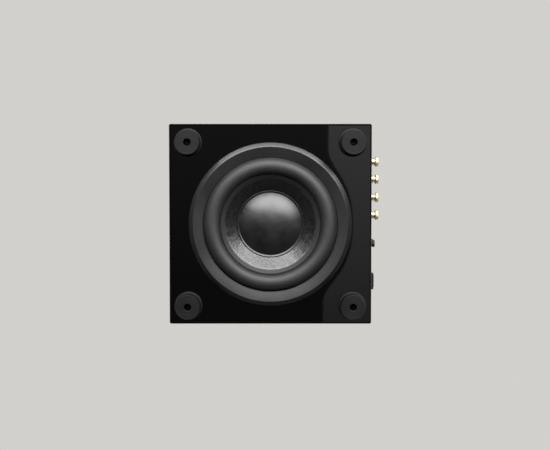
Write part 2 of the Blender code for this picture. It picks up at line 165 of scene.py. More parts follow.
def ramp(nt, fac, lo, hi, a, b):
    """fac from lo..hi to a..b, as a number."""
    r = nt.nodes.new("ShaderNodeMapRange")
    r.inputs["From Min"].default_value = lo
    r.inputs["From Max"].default_value = hi
    r.inputs["To Min"].default_value = a
    r.inputs["To Max"].default_value = b
    nt.links.new(fac, r.inputs["Value"])
    return r.outputs["Result"]


def colors(nt, fac, stops):
    r = nt.nodes.new("ShaderNodeValToRGB")
    e = r.color_ramp.elements
    e[0].position, e[0].color = stops[0][0], (*stops[0][1], 1)
    e[1].position, e[1].color = stops[-1][0], (*stops[-1][1], 1)
    for p, c in stops[1:-1]:
        k = e.new(p)
        k.color = (*c, 1)
    nt.links.new(fac, r.inputs["Fac"])
    return r.outputs["Color"]


def math_node(nt, op, a, b=None):
    n = nt.nodes.new("ShaderNodeMath")
    n.operation = op
    for i, v in enumerate((a, b)):
        if v is None:
            continue
        if isinstance(v, (int, float)):
            n.inputs[i].default_value = v
        else:
            nt.links.new(v, n.inputs[i])
    return n.outputs[0]


def bump(nt, bsdf, height, strength, distance, before=None):
    n = nt.nodes.new("ShaderNodeBump")
    n.inputs["Strength"].default_value = strength
    n.inputs["Distance"].default_value = distance
    nt.links.new(height, n.inputs["Height"])
    if before is not None:
        nt.links.new(before, n.inputs["Normal"])
    nt.links.new(n.outputs["Normal"], bsdf.inputs["Normal"])
    return n.outputs["Normal"]


def radius_of(nt, vec, axis="Z", centre=(0.0, 0.0)):
    """Distance from an axis, in metres; centre is the axis's place in the other two coordinates."""
    s = nt.nodes.new("ShaderNodeSeparateXYZ")
    nt.links.new(vec, s.inputs[0])
    ax = {"Z": ("X", "Y"), "Y": ("X", "Z")}[axis]
    u = math_node(nt, "SUBTRACT", s.outputs[ax[0]], centre[0])
    v = math_node(nt, "SUBTRACT", s.outputs[ax[1]], centre[1])
    return math_node(nt, "SQRT", math_node(nt, "ADD", math_node(nt, "MULTIPLY", u, u), math_node(nt, "MULTIPLY", v, v)))


def grained(name, dark, light, rough, metal=0.0, ior=1.5, grain=1200.0, strength=0.2, depth=0.0001, spread=0.08, blotch=18.0):
    """A moulded or coated surface: fine grain bump, soft blotches of colour and of roughness."""
    m, nt, b = new_mat(name, dark, rough, metal, ior)
    v = coords(nt)
    big = noise(nt, v, blotch, 4.0, 0.55)
    fine = noise(nt, v, grain, 3.0, 0.6)
    nt.links.new(colors(nt, big, [(0.3, dark), (0.72, light)]), b.inputs["Base Color"])
    mixed = math_node(nt, "ADD", math_node(nt, "MULTIPLY", big, 0.7), math_node(nt, "MULTIPLY", fine, 0.3))
    nt.links.new(ramp(nt, mixed, 0.3, 0.7, max(0.02, rough - spread), min(1.0, rough + spread)), b.inputs["Roughness"])
    bump(nt, b, fine, strength, depth)
    return m


# ------------------------------------------------------------------ the materials
def lacquer_material():
    m, nt, b = new_mat("black_lacquer", (0.0011, 0.0011, 0.0012), 0.05, ior=1.5)
    v = coords(nt)
    big = noise(nt, v, 9.0, 4.0, 0.6)
    nt.links.new(ramp(nt, big, 0.3, 0.75, 0.016, 0.034), b.inputs["Roughness"])
    nt.links.new(colors(nt, noise(nt, v, 30.0, 3.0), [(0.3, (0.0009, 0.0009, 0.001)), (0.7, (0.0015, 0.0014, 0.0014))]), b.inputs["Base Color"])
    peel = noise(nt, v, 120.0, 2.0, 0.4)
    bump(nt, b, peel, 0.012, 0.0003)
    return m


def cone_material():
    m, nt, b = new_mat("cone_fibre", (0.006, 0.006, 0.006), 0.4, ior=1.8)
    v = coords(nt)
    fib = noise(nt, v, 620.0, 6.0, 0.7, 1.6)
    blot = noise(nt, v, 150.0, 5.0, 0.66, 0.8)
    mix = math_node(nt, "ADD", math_node(nt, "MULTIPLY", fib, 0.55), math_node(nt, "MULTIPLY", blot, 0.45))
    nt.links.new(colors(nt, mix, [(0.34, (0.0025, 0.0025, 0.0026)), (0.66, (0.011, 0.011, 0.0108))]), b.inputs["Base Color"])
    nt.links.new(ramp(nt, mix, 0.38, 0.62, 0.20, 0.42), b.inputs["Roughness"])
    n1 = bump(nt, b, fib, 0.35, 0.00022)
    bump(nt, b, blot, 0.5, 0.0008, n1)
    return m


def cap_material():
    m, nt, b = new_mat("dust_cap_satin", (0.006, 0.006, 0.006), 0.34, ior=1.75)
    v = coords(nt)
    cloud = noise(nt, v, 46.0, 4.0, 0.55, 0.4)
    fine = noise(nt, v, 900.0, 3.0, 0.6)
    nt.links.new(colors(nt, cloud, [(0.35, (0.0045, 0.0045, 0.0046)), (0.68, (0.009, 0.009, 0.0088))]), b.inputs["Base Color"])
    nt.links.new(ramp(nt, cloud, 0.32, 0.7, 0.28, 0.42), b.inputs["Roughness"])
    n1 = bump(nt, b, cloud, 0.22, 0.0012)
    bump(nt, b, fine, 0.10, 0.00006, n1)
    return m


def roll_material(name="surround_rubber", lo=0.56, hi=0.64, ior=1.7, dark=0.005, light=0.0085):
    m, nt, b = new_mat(name, (0.006, 0.006, 0.006), lo, ior=ior)
    v = coords(nt)
    big = noise(nt, v, 24.0, 3.0, 0.5)
    fine = noise(nt, v, 1500.0, 3.0, 0.6)
    nt.links.new(colors(nt, big, [(0.3, (dark, dark, dark * 1.03)), (0.72, (light, light, light))]), b.inputs["Base Color"])
    nt.links.new(ramp(nt, big, 0.3, 0.7, lo, hi), b.inputs["Roughness"])
    bump(nt, b, fine, 0.12, 0.00006)
    return m


def ring_material():
    m = grained("ring_satin", (0.0042, 0.0042, 0.0043), (0.0062, 0.0062, 0.0061), 0.37, ior=1.85, grain=1500.0, strength=0.22, depth=0.00008, spread=0.05)
    return m


def foot_material():
    m, nt, b = new_mat("foot_rubber", (0.006, 0.006, 0.006), 0.6, ior=1.36)
    v = coords(nt)
    big = noise(nt, v, 60.0, 4.0, 0.6)
    fine = noise(nt, v, 2200.0, 3.0, 0.6)
    nt.links.new(colors(nt, big, [(0.3, (0.0038, 0.0038, 0.0038)), (0.72, (0.0068, 0.0068, 0.0067))]), b.inputs["Base Color"])
    nt.links.new(ramp(nt, big, 0.3, 0.7, 0.52, 0.68), b.inputs["Roughness"])
    bump(nt, b, fine, 0.25, 0.00008)
    return m


def gold_material():
    m, nt, b = new_mat("gold_plate", (0.88, 0.76, 0.5), 0.34, metal=1.0)
    v = coords(nt)
    n = noise(nt, v, 300.0, 4.0, 0.6)
    lathe_marks = noise(nt, coords(nt, (1.0, 60.0, 1.0)), 160.0, 2.0)
    nt.links.new(colors(nt, n, [(0.3, (0.82, 0.69, 0.42)), (0.7, (0.93, 0.82, 0.58))]), b.inputs["Base Color"])
    nt.links.new(ramp(nt, n, 0.3, 0.7, 0.40, 0.54), b.inputs["Roughness"])
    bump(nt, b, lathe_marks, 0.10, 0.00004)
    return m


def brushed(name, dark, light, rough, axis_scale, metal=1.0):
    m, nt, b = new_mat(name, dark, rough, metal)
    v = coords(nt, axis_scale)
    n = noise(nt, v, 60.0, 5.0, 0.65)
    nt.links.new(colors(nt, n, [(0.3, dark), (0.7, light)]), b.inputs["Base Color"])
    nt.links.new(ramp(nt, n, 0.3, 0.7, rough - 0.07, rough + 0.08), b.inputs["Roughness"])
    bump(nt, b, n, 0.12, 0.00005)
    return m


def powder_material():
    m, nt, b = new_mat("plate_powder_coat", (0.014, 0.014, 0.0145), 0.5)
    v = coords(nt)
    cell = nt.nodes.new("ShaderNodeTexVoronoi")
    cell.inputs["Scale"].default_value = 950.0
    nt.links.new(v, cell.inputs["Vector"])
    fine = noise(nt, v, 700.0, 3.0, 0.6)
    h = math_node(nt, "ADD", math_node(nt, "MULTIPLY", cell.outputs["Distance"], 0.6), math_node(nt, "MULTIPLY", fine, 0.6))
    nt.links.new(colors(nt, noise(nt, v, 14.0, 4.0), [(0.3, (0.012, 0.012, 0.0124)), (0.7, (0.018, 0.018, 0.0182))]), b.inputs["Base Color"])
    nt.links.new(ramp(nt, fine, 0.3, 0.7, 0.42, 0.58), b.inputs["Roughness"])
    bump(nt, b, h, 0.45, 0.00018)
    return m


def wound(name, dark, light, pitch, rough, metal, centre_y):
    """Turns of wire or tape: rings along Z round the driver's axis."""
    m, nt, b = new_mat(name, dark, rough, metal)
    v = coords(nt)
    s = nt.nodes.new("ShaderNodeSeparateXYZ")
    nt.links.new(v, s.inputs[0])
    w = math_node(nt, "SINE", math_node(nt, "MULTIPLY", s.outputs["Z"], 2 * math.pi / pitch))
    nt.links.new(colors(nt, ramp(nt, w, -1.0, 1.0, 0.0, 1.0), [(0.0, dark), (1.0, light)]), b.inputs["Base Color"])
    bump(nt, b, w, 0.5, 0.0002)
    return m


def cloth(name, dark, light, pitch, rough):
    m, nt, b = new_mat(name, dark, rough)
    v = coords(nt)
    s = nt.nodes.new("ShaderNodeSeparateXYZ")
    nt.links.new(v, s.inputs[0])
    wx = math_node(nt, "SINE", math_node(nt, "MULTIPLY", s.outputs["X"], 2 * math.pi / pitch))
    wy = math_node(nt, "SINE", math_node(nt, "MULTIPLY", s.outputs["Y"], 2 * math.pi / pitch))
    w = math_node(nt, "MULTIPLY", wx, wy)
    n = noise(nt, v, 140.0, 4.0)
    t = math_node(nt, "ADD", math_node(nt, "MULTIPLY", ramp(nt, w, -1.0, 1.0, 0.0, 1.0), 0.5), math_node(nt, "MULTIPLY", n, 0.5))
    nt.links.new(colors(nt, t, [(0.25, dark), (0.75, light)]), b.inputs["Base Color"])
    bump(nt, b, t, 0.5, 0.0003)
    return m


MAT = {
    "lacquer": lacquer_material(),
    "cone": cone_material(),
    "cap": cap_material(),
    "roll": roll_material(),
    "landing": roll_material("surround_glue_land", 0.45, 0.51, 1.56, 0.003, 0.005),
    "ring": ring_material(),
    "foot": foot_material(),
    "gold": gold_material(),
    "plate": powder_material(),
    "bolt": grained("black_oxide", (0.010, 0.010, 0.011), (0.020, 0.020, 0.021), 0.38, metal=0.85, grain=900.0, strength=0.12, depth=0.00004),
    "knob": grained("knob_satin", (0.009, 0.009, 0.0095), (0.013, 0.013, 0.013), 0.40, grain=1600.0, strength=0.2, depth=0.00006),
    "moulding": grained("inlet_moulding", (0.011, 0.011, 0.0115), (0.016, 0.016, 0.016), 0.46, grain=1400.0, strength=0.3, depth=0.00008),
    "bezel": grained("bezel_grey", (0.075, 0.076, 0.075), (0.10, 0.10, 0.098), 0.5, grain=1400.0, strength=0.3, depth=0.00008),
    "zinc": brushed("zinc_plate", (0.50, 0.50, 0.49), (0.66, 0.66, 0.64), 0.30, (1.0, 1.0, 14.0)),
    "steel": brushed("machined_steel", (0.42, 0.42, 0.42), (0.60, 0.60, 0.60), 0.28, (8.0, 8.0, 1.0)),
    "ferrite": grained("sintered_ferrite", (0.03, 0.03, 0.032), (0.055, 0.055, 0.057), 0.62, grain=700.0, strength=0.35, depth=0.0002),
    "casting": grained("cast_frame_coat", (0.02, 0.02, 0.02), (0.032, 0.032, 0.032), 0.52, metal=0.3, grain=800.0, strength=0.35, depth=0.0002),
    "foam": grained("cell_foam", (0.015, 0.015, 0.015), (0.03, 0.03, 0.03), 0.92, grain=600.0, strength=0.8, depth=0.0005),
    "mdf": grained("raw_mdf", (0.27, 0.185, 0.11), (0.37, 0.26, 0.16), 0.85, grain=500.0, strength=0.4, depth=0.0003, blotch=40.0),
    "wadding": grained("polyester_wadding", (0.62, 0.62, 0.58), (0.82, 0.82, 0.79), 0.96, grain=120.0, strength=1.0, depth=0.004, blotch=25.0),
    "foil": brushed("coil_former_foil", (0.62, 0.62, 0.63), (0.80, 0.80, 0.81), 0.30, (1.0, 1.0, 20.0)),
    "copper": wound("copper_winding", (0.45, 0.16, 0.07), (0.80, 0.38, 0.20), 0.0006, 0.32, 1.0, CY),
    "spider": cloth("spider_cloth", (0.30, 0.19, 0.07), (0.58, 0.42, 0.18), 0.0009, 0.85),
    "alloy": brushed("extruded_alloy", (0.60, 0.60, 0.61), (0.78, 0.78, 0.79), 0.36, (1.0, 1.0, 30.0)),
    "board": grained("solder_mask", (0.008, 0.075, 0.028), (0.014, 0.11, 0.042), 0.35, grain=500.0, strength=0.35, depth=0.0003, blotch=120.0),
    "tape": wound("transformer_tape", (0.48, 0.36, 0.04), (0.80, 0.64, 0.12), 0.0085, 0.38, 0.0, CY),
    "print": grained("legend_ink", (0.62, 0.62, 0.60), (0.72, 0.72, 0.70), 0.6, grain=900.0, strength=0.1, depth=0.00003),
    "red": grained("red_insulator", (0.30, 0.012, 0.012), (0.38, 0.02, 0.018), 0.36, grain=900.0, strength=0.1, depth=0.00005),
    "black": grained("black_insulator", (0.010, 0.010, 0.010), (0.016, 0.016, 0.016), 0.36, grain=900.0, strength=0.1, depth=0.00005),
}


# ------------------------------------------------------------------ mesh tools
def fillet(pts, r, n=3, closed=True):
    """Rounds the corners of a polygon; a point may carry its own radius as a third number."""
    out = []
    count = len(pts)
    for i, p in enumerate(pts):
        rad = p[2] if len(p) > 2 else r
        if (not closed and i in (0, count - 1)) or rad <= 0:
            out.append((p[0], p[1]))
            continue
        a, c = Vector(pts[i - 1][:2]), Vector(pts[(i + 1) % count][:2])
        b = Vector(p[:2])
        u, v = a - b, c - b
        if u.length < 1e-6 or v.length < 1e-6:
            continue
        un, vn = u.normalized(), v.normalized()
        ang = math.acos(max(-1.0, min(1.0, un.dot(vn))))
        if ang > math.radians(176):
            out.append(tuple(b))
            continue
        t = min(rad / math.tan(ang / 2), u.length * 0.45, v.length * 0.45)
        p0, p1 = b + un * t, b + vn * t
        for k in range(n + 1):
            s = k / n
            q = p0 * (1 - s) ** 2 + b * 2 * s * (1 - s) + p1 * s * s
            out.append((q.x, q.y))
    return out


def to_mesh_object(name, bm, mat, sharp=32.0, weighted=False):
    bmesh.ops.recalc_face_normals(bm, faces=bm.faces)
    me = bpy.data.meshes.new(name)
    bm.to_mesh(me)
    bm.free()
    ob = bpy.data.objects.new(name, me)
    scene.collection.objects.link(ob)
    for mt in mat if isinstance(mat, (list, tuple)) else [mat]:
        me.materials.append(mt)
    me.shade_smooth()
    me.set_sharp_from_angle(angle=math.radians(sharp))
    if weighted:
        w = ob.modifiers.new("weighted", "WEIGHTED_NORMAL")
        w.keep_sharp = True
        w.weight = 80
    return ob


def lathe(name, profile, steps, mat, at=(0.0, 0.0, 0.0), axis="Z", closed=True, wobble=None, sharp=32.0, mats=None):
    """Turns a closed (radius, height) profile in mm round an axis through at. wobble(theta, r, h) returns a new radius."""
    bm = bmesh.new()
    rings = []
    on_axis = {}
    for i, (r, h) in enumerate(profile):
        if r < 1e-6:
            on_axis[i] = bm.verts.new((0, 0, h))
    for k in range(steps):
        th = 2 * math.pi * k / steps
        ring = []
        for i, (r, h) in enumerate(profile):
            if i in on_axis:
                ring.append(on_axis[i])
            else:
                rr = wobble(th, r, h) if wobble else r
                ring.append(bm.verts.new((rr * math.cos(th), rr * math.sin(th), h)))
        rings.append(ring)
    n = len(profile)
    last = n if closed else n - 1
    for k in range(steps):
        a, b = rings[k], rings[(k + 1) % steps]
        for i in range(last):
            j = (i + 1) % n
            q = [a[i], b[i], b[j], a[j]]
            vs = []
            for x in q:
                if x not in vs:
                    vs.append(x)
            if len(vs) >= 3:
                f = bm.faces.new(vs)
                if mats:
                    f.material_index = mats(profile[i], profile[j])
    if axis == "Y":
        bmesh.ops.rotate(bm, verts=bm.verts, cent=(0, 0, 0), matrix=Matrix.Rotation(-math.pi / 2, 3, "X"))
    bmesh.ops.translate(bm, verts=bm.verts, vec=at)
    bmesh.ops.scale(bm, verts=bm.verts, vec=(MM, MM, MM))
    return to_mesh_object(name, bm, mat, sharp)


def block_bm(x, y, z, r=0.0, seg=3):
    bm = bmesh.new()
    bmesh.ops.create_cube(bm, size=1.0)
    bmesh.ops.scale(bm, verts=bm.verts, vec=(x[1] - x[0], y[1] - y[0], z[1] - z[0]))
    bmesh.ops.translate(bm, verts=bm.verts, vec=((x[0] + x[1]) / 2, (y[0] + y[1]) / 2, (z[0] + z[1]) / 2))
    if r > 0:
        bmesh.ops.bevel(bm, geom=list(bm.edges), offset=r, segments=seg, profile=0.5, affect="EDGES")
    bmesh.ops.scale(bm, verts=bm.verts, vec=(MM, MM, MM))
    return bm


def tool(name, bm):
    """A temporary mesh used as a cutter."""
    bmesh.ops.recalc_face_normals(bm, faces=bm.faces)
    me = bpy.data.meshes.new(name)
    bm.to_mesh(me)
    bm.free()
    ob = bpy.data.objects.new(name, me)
    scene.collection.objects.link(ob)
    return ob


def tool_cyl(r, h0, h1, at, axis="Z", steps=64):
    bm = bmesh.new()
    bmesh.ops.create_cone(bm, cap_ends=True, segments=steps, radius1=r * MM, radius2=r * MM, depth=(h1 - h0) * MM)
    bmesh.ops.translate(bm, verts=bm.verts, vec=(0, 0, (h0 + h1) / 2 * MM))
    if axis == "Y":
        bmesh.ops.rotate(bm, verts=bm.verts, cent=(0, 0, 0), matrix=Matrix.Rotation(-math.pi / 2, 3, "X"))
    bmesh.ops.translate(bm, verts=bm.verts, vec=Vector(at) * MM)
    return tool("cut", bm)


def carve(ob, cutters, edge=0.0, seg=2):
    """Cuts ob by each cutter, applies it, and rounds what is left sharp."""
    for c in cutters:
        m = ob.modifiers.new("cut", "BOOLEAN")
        m.operation = "DIFFERENCE"
        m.solver = "EXACT"
        m.object = c
    if edge > 0:
        m = ob.modifiers.new("edge", "BEVEL")
        m.width = edge * MM
        m.segments = seg
        m.limit_method = "ANGLE"
        m.angle_limit = math.radians(40)
        m.miter_outer = "MITER_ARC"
    bpy.context.view_layer.update()
    me = bpy.data.meshes.new_from_object(ob.evaluated_get(bpy.context.evaluated_depsgraph_get()))
    ob.modifiers.clear()
    old = ob.data
    ob.data = me
    bpy.data.meshes.remove(old)
    for c in cutters:
        bpy.data.objects.remove(c, do_unlink=True)
    me.shade_smooth()
    me.set_sharp_from_angle(angle=math.radians(32))
    w = ob.modifiers.new("weighted", "WEIGHTED_NORMAL")
    w.keep_sharp = True
    w.weight = 80
    return ob


def place(ob, body, nodes=()):
    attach(ob, body)
    if nodes:
        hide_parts(*nodes)
    return ob


# ------------------------------------------------------------------ cabinet: one seamless lacquered shell
EDGE = 2.6
shell = to_mesh_object("cabinet_shell", block_bm((-HX, HX), (Y0, Y1), (Z0, Z1), EDGE, 6), MAT["lacquer"])
px0, px1, pz0, pz1 = PLATE_LO.x, PLATE_HI.x, PLATE_LO.z, PLATE_HI.z
YP = PLATE_LO.y  # back of the plate
carve(
    shell,
    [
        tool("cavity", block_bm((-HX + 18, HX - 18), (Y0 + 18, Y1 - 18), (Z0 + 22, Z1 - 18))),
        tool_cyl(97.8, 0, 60, (CX, CY, 0), steps=160),
        tool_cyl(109.2, 0, Z0 + 8.4, (CX, CY, 0), steps=160),
        tool("amp_window", block_bm((px0 + 10, px1 - 10), (Y1 - 40, Y1 + 10), (pz0 + 10, pz1 - 10))),
        tool("amp_rebate", block_bm((px0 - 0.45, px1 + 0.45), (YP - 2.1, Y1 + 5), (pz0 - 0.45, pz1 + 0.45))),
    ],
)
place(shell, ROOT, ("top_panel", "bottom_baffle", "left_side_panel", "right_side_panel", "front_panel", "rear_panel"))

# ------------------------------------------------------------------ trim ring: chamfered rim and a shallow dished face
RI = 92.0
DISH = 3.1
ring_profile = fillet(
    [
        (RING_R, Z0 - 0.3, 0.25),
        (RING_R, RING_Z + 5.3, 0.6),
        (112.4, RING_Z + 4.1, 0.6),
        (106.9, RING_Z, 0.7),
        (93.2, RING_Z + DISH, 0.6),
        (RI, RING_Z + DISH + 1.0, 0.5),
        (RI, 22.1, 0.1),
        (98.0, 22.1, 0.1),
        (98.0, Z0 - 0.3, 0.1),
    ],
    0.5,
    4,
)
ring = lathe("trim_ring_face", ring_profile, 256, MAT["ring"], (CX, CY, 0), sharp=40)
place(ring, ROOT, ("trim_ring",))

# ------------------------------------------------------------------ surround: half roll between the ring and the cone
R_OUT, R_IN, R_LAND = 91.6, 69.5, 63.1
SF = 22.5  # front face of the lips
T = 1.1
mid, half = (R_OUT + R_IN) / 2, (R_OUT - R_IN) / 2
crown = SF - ROLL_Z - 0.1
front = [(97.4, SF), (92.9, SF)]
front += [(mid + half * math.cos(math.radians(a)), SF - crown * math.sin(math.radians(a)) ** 0.92) for a in [2 + 176 * i / 44 for i in range(45)]]
front += [(69.35, SF - 0.1), (69.05, SF - 0.55), (68.6, SF - 0.85), (68.2, SF - 0.75), (63.9, SF + 0.56), (63.4, SF + 0.7), (R_LAND, SF + 0.88)]
rear = [(R_LAND, SF + T), (69.0, SF + T)]
rear += [(mid + (half - T) * math.cos(math.radians(a)), SF + T - (crown) * math.sin(math.radians(a)) ** 0.92) for a in [178 - 176 * i / 28 for i in range(29)]]
rear += [(92.2, SF + T), (97.4, SF + T)]
def on_land(a, b):
    return 1 if max(a[0], b[0]) < 69.1 and max(a[1], b[1]) < SF + 0.9 else 0


surround = lathe("surround_roll", front + rear, 256, [MAT["roll"], MAT["landing"]], (CX, CY, 0), sharp=50, mats=on_land)
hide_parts("surround")


def radial_blend(ob):
    """Bakes ob's transform into its mesh; it does not bend ob between the enclosure and the cone assembly."""
    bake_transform(ob)


radial_blend(surround)

# ------------------------------------------------------------------ cone and dust cap
R_LIP = 62.8
NECK_DROP = 1.68  # the cone's thickness behind its neck
slope = (CONE_NECK - NECK_DROP - CONE_LIP) / (R_LIP - 26.0)


def cone_z(r):
    return CONE_LIP + slope * (R_LIP - r)


front = [(69.0, CONE_LIP + 0.05), (63.0, CONE_LIP + 0.05)]
front += [(r, cone_z(r)) for r in [62.6 - 36.6 * i / 24 for i in range(25)]]
rear = [(r + 0.7, cone_z(r) + 1.35) for r in [26.0 + 35.4 * i / 12 for i in range(13)]] + [(69.0, CONE_LIP + 1.6)]
cone = lathe("cone_body", front + rear, 256, MAT["cone"], (CX, CY, 0), sharp=40)
place(cone, "cone_assembly", ("cone",))

RD = 43.2  # dome's foot
base = cone_z(RD) - 1.9
rise = base - CAP_Z
RR = (RD * RD + rise * rise) / (2 * rise)
amax = math.asin(RD / RR)
dome = [(RR * math.sin(amax * i / 40), base - rise + RR * (1 - math.cos(amax * i / 40))) for i in range(41)]
rim = fillet(
    [
        (dome[-1][0], dome[-1][1] + 0.1, 0.0),
        (RD + 0.05, base + 0.45, 0.1),
        (RD + 0.4, base + 0.45, 0.1),
        (RD + 0.52, base - 0.2, 0.1),
        (RD + 2.05, base - 1.08, 0.25),
        (RD + 2.35, base - 1.45, 0.3),
        (RD + 2.75, base - 1.45, 0.3),
        (CAP_R, base - 1.15, 0.15),
        (CAP_R, cone_z(CAP_R) - 0.45, 0.1),
        (RD - 0.8, cone_z(RD - 0.8) - 0.5, 0.1),
    ],
    0.2,
    3,
    closed=False,
)
inner = [(r * 0.966, z + 1.25 + (z - CAP_Z) * 0.0) for r, z in dome[::-1]]
cap = lathe("dust_cap_dome", dome + rim + inner, 192, MAT["cap"], (CX, CY, 0), closed=True, sharp=38)
place(cap, "cone_assembly", ("dust_cap",))

# spider: corrugated cloth, hidden behind the cone
lo, hi = mmbox("spider")
zs = (lo.z + hi.z) / 2
wave = [(26.0 + 33.5 * i / 64, zs - 0.45 + 1.55 * math.sin(2 * math.pi * i / 16)) for i in range(65)] + [(66.0, zs - 0.45)]
spider = lathe("spider_corrugated", wave + [(66.0, zs + 0.35)] + [(r, z + 0.8) for r, z in wave[-2::-1]], 128, MAT["spider"], (CX, CY, 0), sharp=60)
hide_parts("spider")
radial_blend(spider)

# ------------------------------------------------------------------ feet and their bolts
for i in range(1, 5):
    lo, hi = mmbox("foot_%d" % i)
    fx, fy = (lo.x + hi.x) / 2, (lo.y + hi.y) / 2
    face = []
    for k in range(25):  # moulded rings on the sole
        r = 5.9 + 9.4 * k / 24
        face.append((r, 0.10 + 0.10 * math.cos(2 * math.pi * (r - 5.9) / 1.88)))
    prof = fillet([(2.7, 23.7, 0), (2.7, 11.0, 0), (4.8, 11.0, 0.1), (4.8, 0.75, 0.2), (5.5, 0.1, 0.3)], 0.2, 3, closed=False)
    prof += face
    prof += fillet(
        [(15.6, 0.05, 0), (16.1, 0.0, 0.2), (17.0, 1.1, 0.7), (17.6, 19.0, 0.5), (19.0, 19.4, 0.5), (19.5, 20.4, 0.5), (19.5, 23.4, 0.2), (19.2, 23.7, 0)],
        0.3,
        4,
        closed=False,
    )
    foot = lathe("rubber_foot_%d" % i, prof, 128, MAT["foot"], (fx, fy, 0), sharp=45)
    place(foot, ROOT, ("foot_%d" % i,))
    head = fillet([(2.2, 40.0, 0.3), (2.2, 10.7, 0.1), (4.2, 10.7, 0.2), (4.2, 8.8, 0.6), (3.2, 7.8, 0.5)], 0.2, 3, closed=False)
    bolt = lathe("foot_bolt_%d" % i, [(0, 41.0)] + head + [(0, 7.8)], 48, MAT["bolt"], (fx, fy, 0), closed=False, sharp=40)
    socket = bmesh.new()
    bmesh.ops.create_cone(socket, cap_ends=True, segments=6, radius1=2.3 * MM, radius2=2.3 * MM, depth=4.0 * MM)
    bmesh.ops.translate(socket, verts=socket.verts, vec=Vector((fx, fy, 8.2)) * MM)
    carve(bolt, [tool("hex", socket)])
    place(bolt, ROOT, ("foot_screw_%d" % i,))

# ------------------------------------------------------------------ amplifier plate
plate = to_mesh_object("amplifier_plate", block_bm((px0, px1), (YP, Y1), (pz0, pz1), 0.7, 3), MAT["plate"])
cuts = []
posts = []
for i in range(1, 5):
    lo, hi = mmbox("binding_post_%d" % i)
    posts.append(((lo.x + hi.x) / 2, (lo.z + hi.z) / 2))
    cuts.append(tool_cyl(3.9, -8, 5, (posts[-1][0], Y1, posts[-1][1]), "Y", 40))
knobs = []
for k in ("gain_knob", "crossover_knob"):
    lo, hi = mmbox(k)
    knobs.append(((lo.x + hi.x) / 2, (lo.z + hi.z) / 2))
    cuts.append(tool_cyl(3.6, -8, 5, (knobs[-1][0], Y1, knobs[-1][1]), "Y", 40))
screws = []
for i in range(1, 7):
    lo, hi = mmbox("amp_screw_%d" % i)
    screws.append(((lo.x + hi.x) / 2, (lo.z + hi.z) / 2))
    cuts.append(tool_cyl(2.1, -8, 5, (screws[-1][0], Y1, screws[-1][1]), "Y", 32))
lo, hi = mmbox("phase_switch_lever")
PH = ((lo.x + hi.x) / 2, posts[0][1])
cuts.append(tool_cyl(3.0, -8, 5, (PH[0], Y1, PH[1]), "Y", 32))
lo, hi = mmbox("rocker_housing")
RK = ((lo.x + hi.x) / 2, (lo.z + hi.z) / 2)
cuts.append(tool("slot", block_bm((lo.x + 0.8, hi.x - 0.8), (Y1 - 12, Y1 + 6), (lo.z + 0.8, hi.z - 0.8))))
lo, hi = mmbox("mains_inlet")
cuts.append(tool("slot", block_bm((lo.x + 0.8, hi.x - 0.8), (Y1 - 12, Y1 + 6), (lo.z + 0.8, hi.z - 0.8))))
carve(plate, cuts)
place(plate, ROOT, ("amp_plate",))

for i, (x, z) in enumerate(screws, 1):
    head = fillet([(1.8, 0.3, 0.05), (3.9, 0.3, 0.15), (3.8, 1.2, 0.6), (2.4, 2.15, 0.5)], 0.2, 4, closed=False)
    s = lathe("plate_screw_%d" % i, [(0, -14.0), (1.0, -14.0), (1.8, -12.8)] + head + [(0, 2.3)], 48, MAT["bolt"], (x, Y1, z), "Y", closed=False, sharp=40)
    a, b = block_bm((x - 2.1, x + 2.1), (Y1 + 1.0, Y1 + 4), (z - 0.42, z + 0.42)), block_bm((x - 0.42, x + 0.42), (Y1 + 1.0, Y1 + 4), (z - 2.1, z + 2.1))
    carve(s, [tool("cross_a", a), tool("cross_b", b)])
    place(s, ROOT, ("amp_screw_%d" % i,))

# binding posts: insulated foot, threaded stud, knurled gold cap
for i, (x, z) in enumerate(posts, 1):
    stud = [(0, -16.0), (1.6, -16.0), (1.6, -9.0), (3.6, -9.0), (3.6, 0.3)]
    flange = fillet([(6.6, 0.3, 0.2), (6.6, 2.4, 0.3), (6.0, 3.2, 0.3)], 0.3, 3, closed=False)
    thread = []
    for k in range(29):
        y = 3.3 + 10.2 * k / 28
        thread.append((3.0 - (0.16 if k % 2 else 0.0), y))
    stud += flange + [(3.0, 3.2)] + thread + [(3.0, 14.0), (2.8, 14.2), (2.25, 14.2), (2.05, 13.9), (2.05, 1.0), (0, 1.0)]
    tint = MAT["red"] if i % 2 else MAT["black"]
    post = lathe(
        "terminal_post_%d" % i,
        stud,
        64,
        [MAT["gold"], tint],
        (x, Y1, z),
        "Y",
        closed=False,
        sharp=40,
        mats=lambda p, q: 1 if (p[0] >= 3.5 and q[0] >= 2.9 and 0.2 <= p[1] <= 3.25 and 0.2 <= q[1] <= 3.25) else 0,
    )
    place(post, ROOT, ("binding_post_%d" % i,))

    def knurl(th, r, h):
        if r > 6.2 and 10.9 < h < 14.5:
            return r - 0.22 * (0.5 + 0.5 * math.cos(28 * th))
        return r

    capp = [(3.35, 3.7), (3.6, 3.6)]
    capp += fillet([(5.0, 3.6, 0), (5.4, 4.1, 0.2), (5.4, 9.5, 0.5), (5.15, 9.9, 0.1), (5.15, 10.2, 0.1), (6.4, 10.45, 0.3), (6.95, 10.95, 0.2)], 0.2, 3, closed=False)
    capp += [(7.0, 11.2), (7.0, 12.7), (7.0, 14.2), (6.9, 14.45)]
    capp += fillet([(6.6, 14.75, 0), (6.2, 15.0, 0.2), (4.4, 15.0, 0.2), (3.9, 14.7, 0.2), (3.35, 14.5, 0)], 0.2, 3, closed=False)
    c = lathe("terminal_cap_knurled_%d" % i, capp, 224, MAT["gold"], (x, Y1, z), "Y", wobble=knurl, sharp=50)
    place(c, "terminal_cap_%d" % i, ("post_cap_%d" % i,))


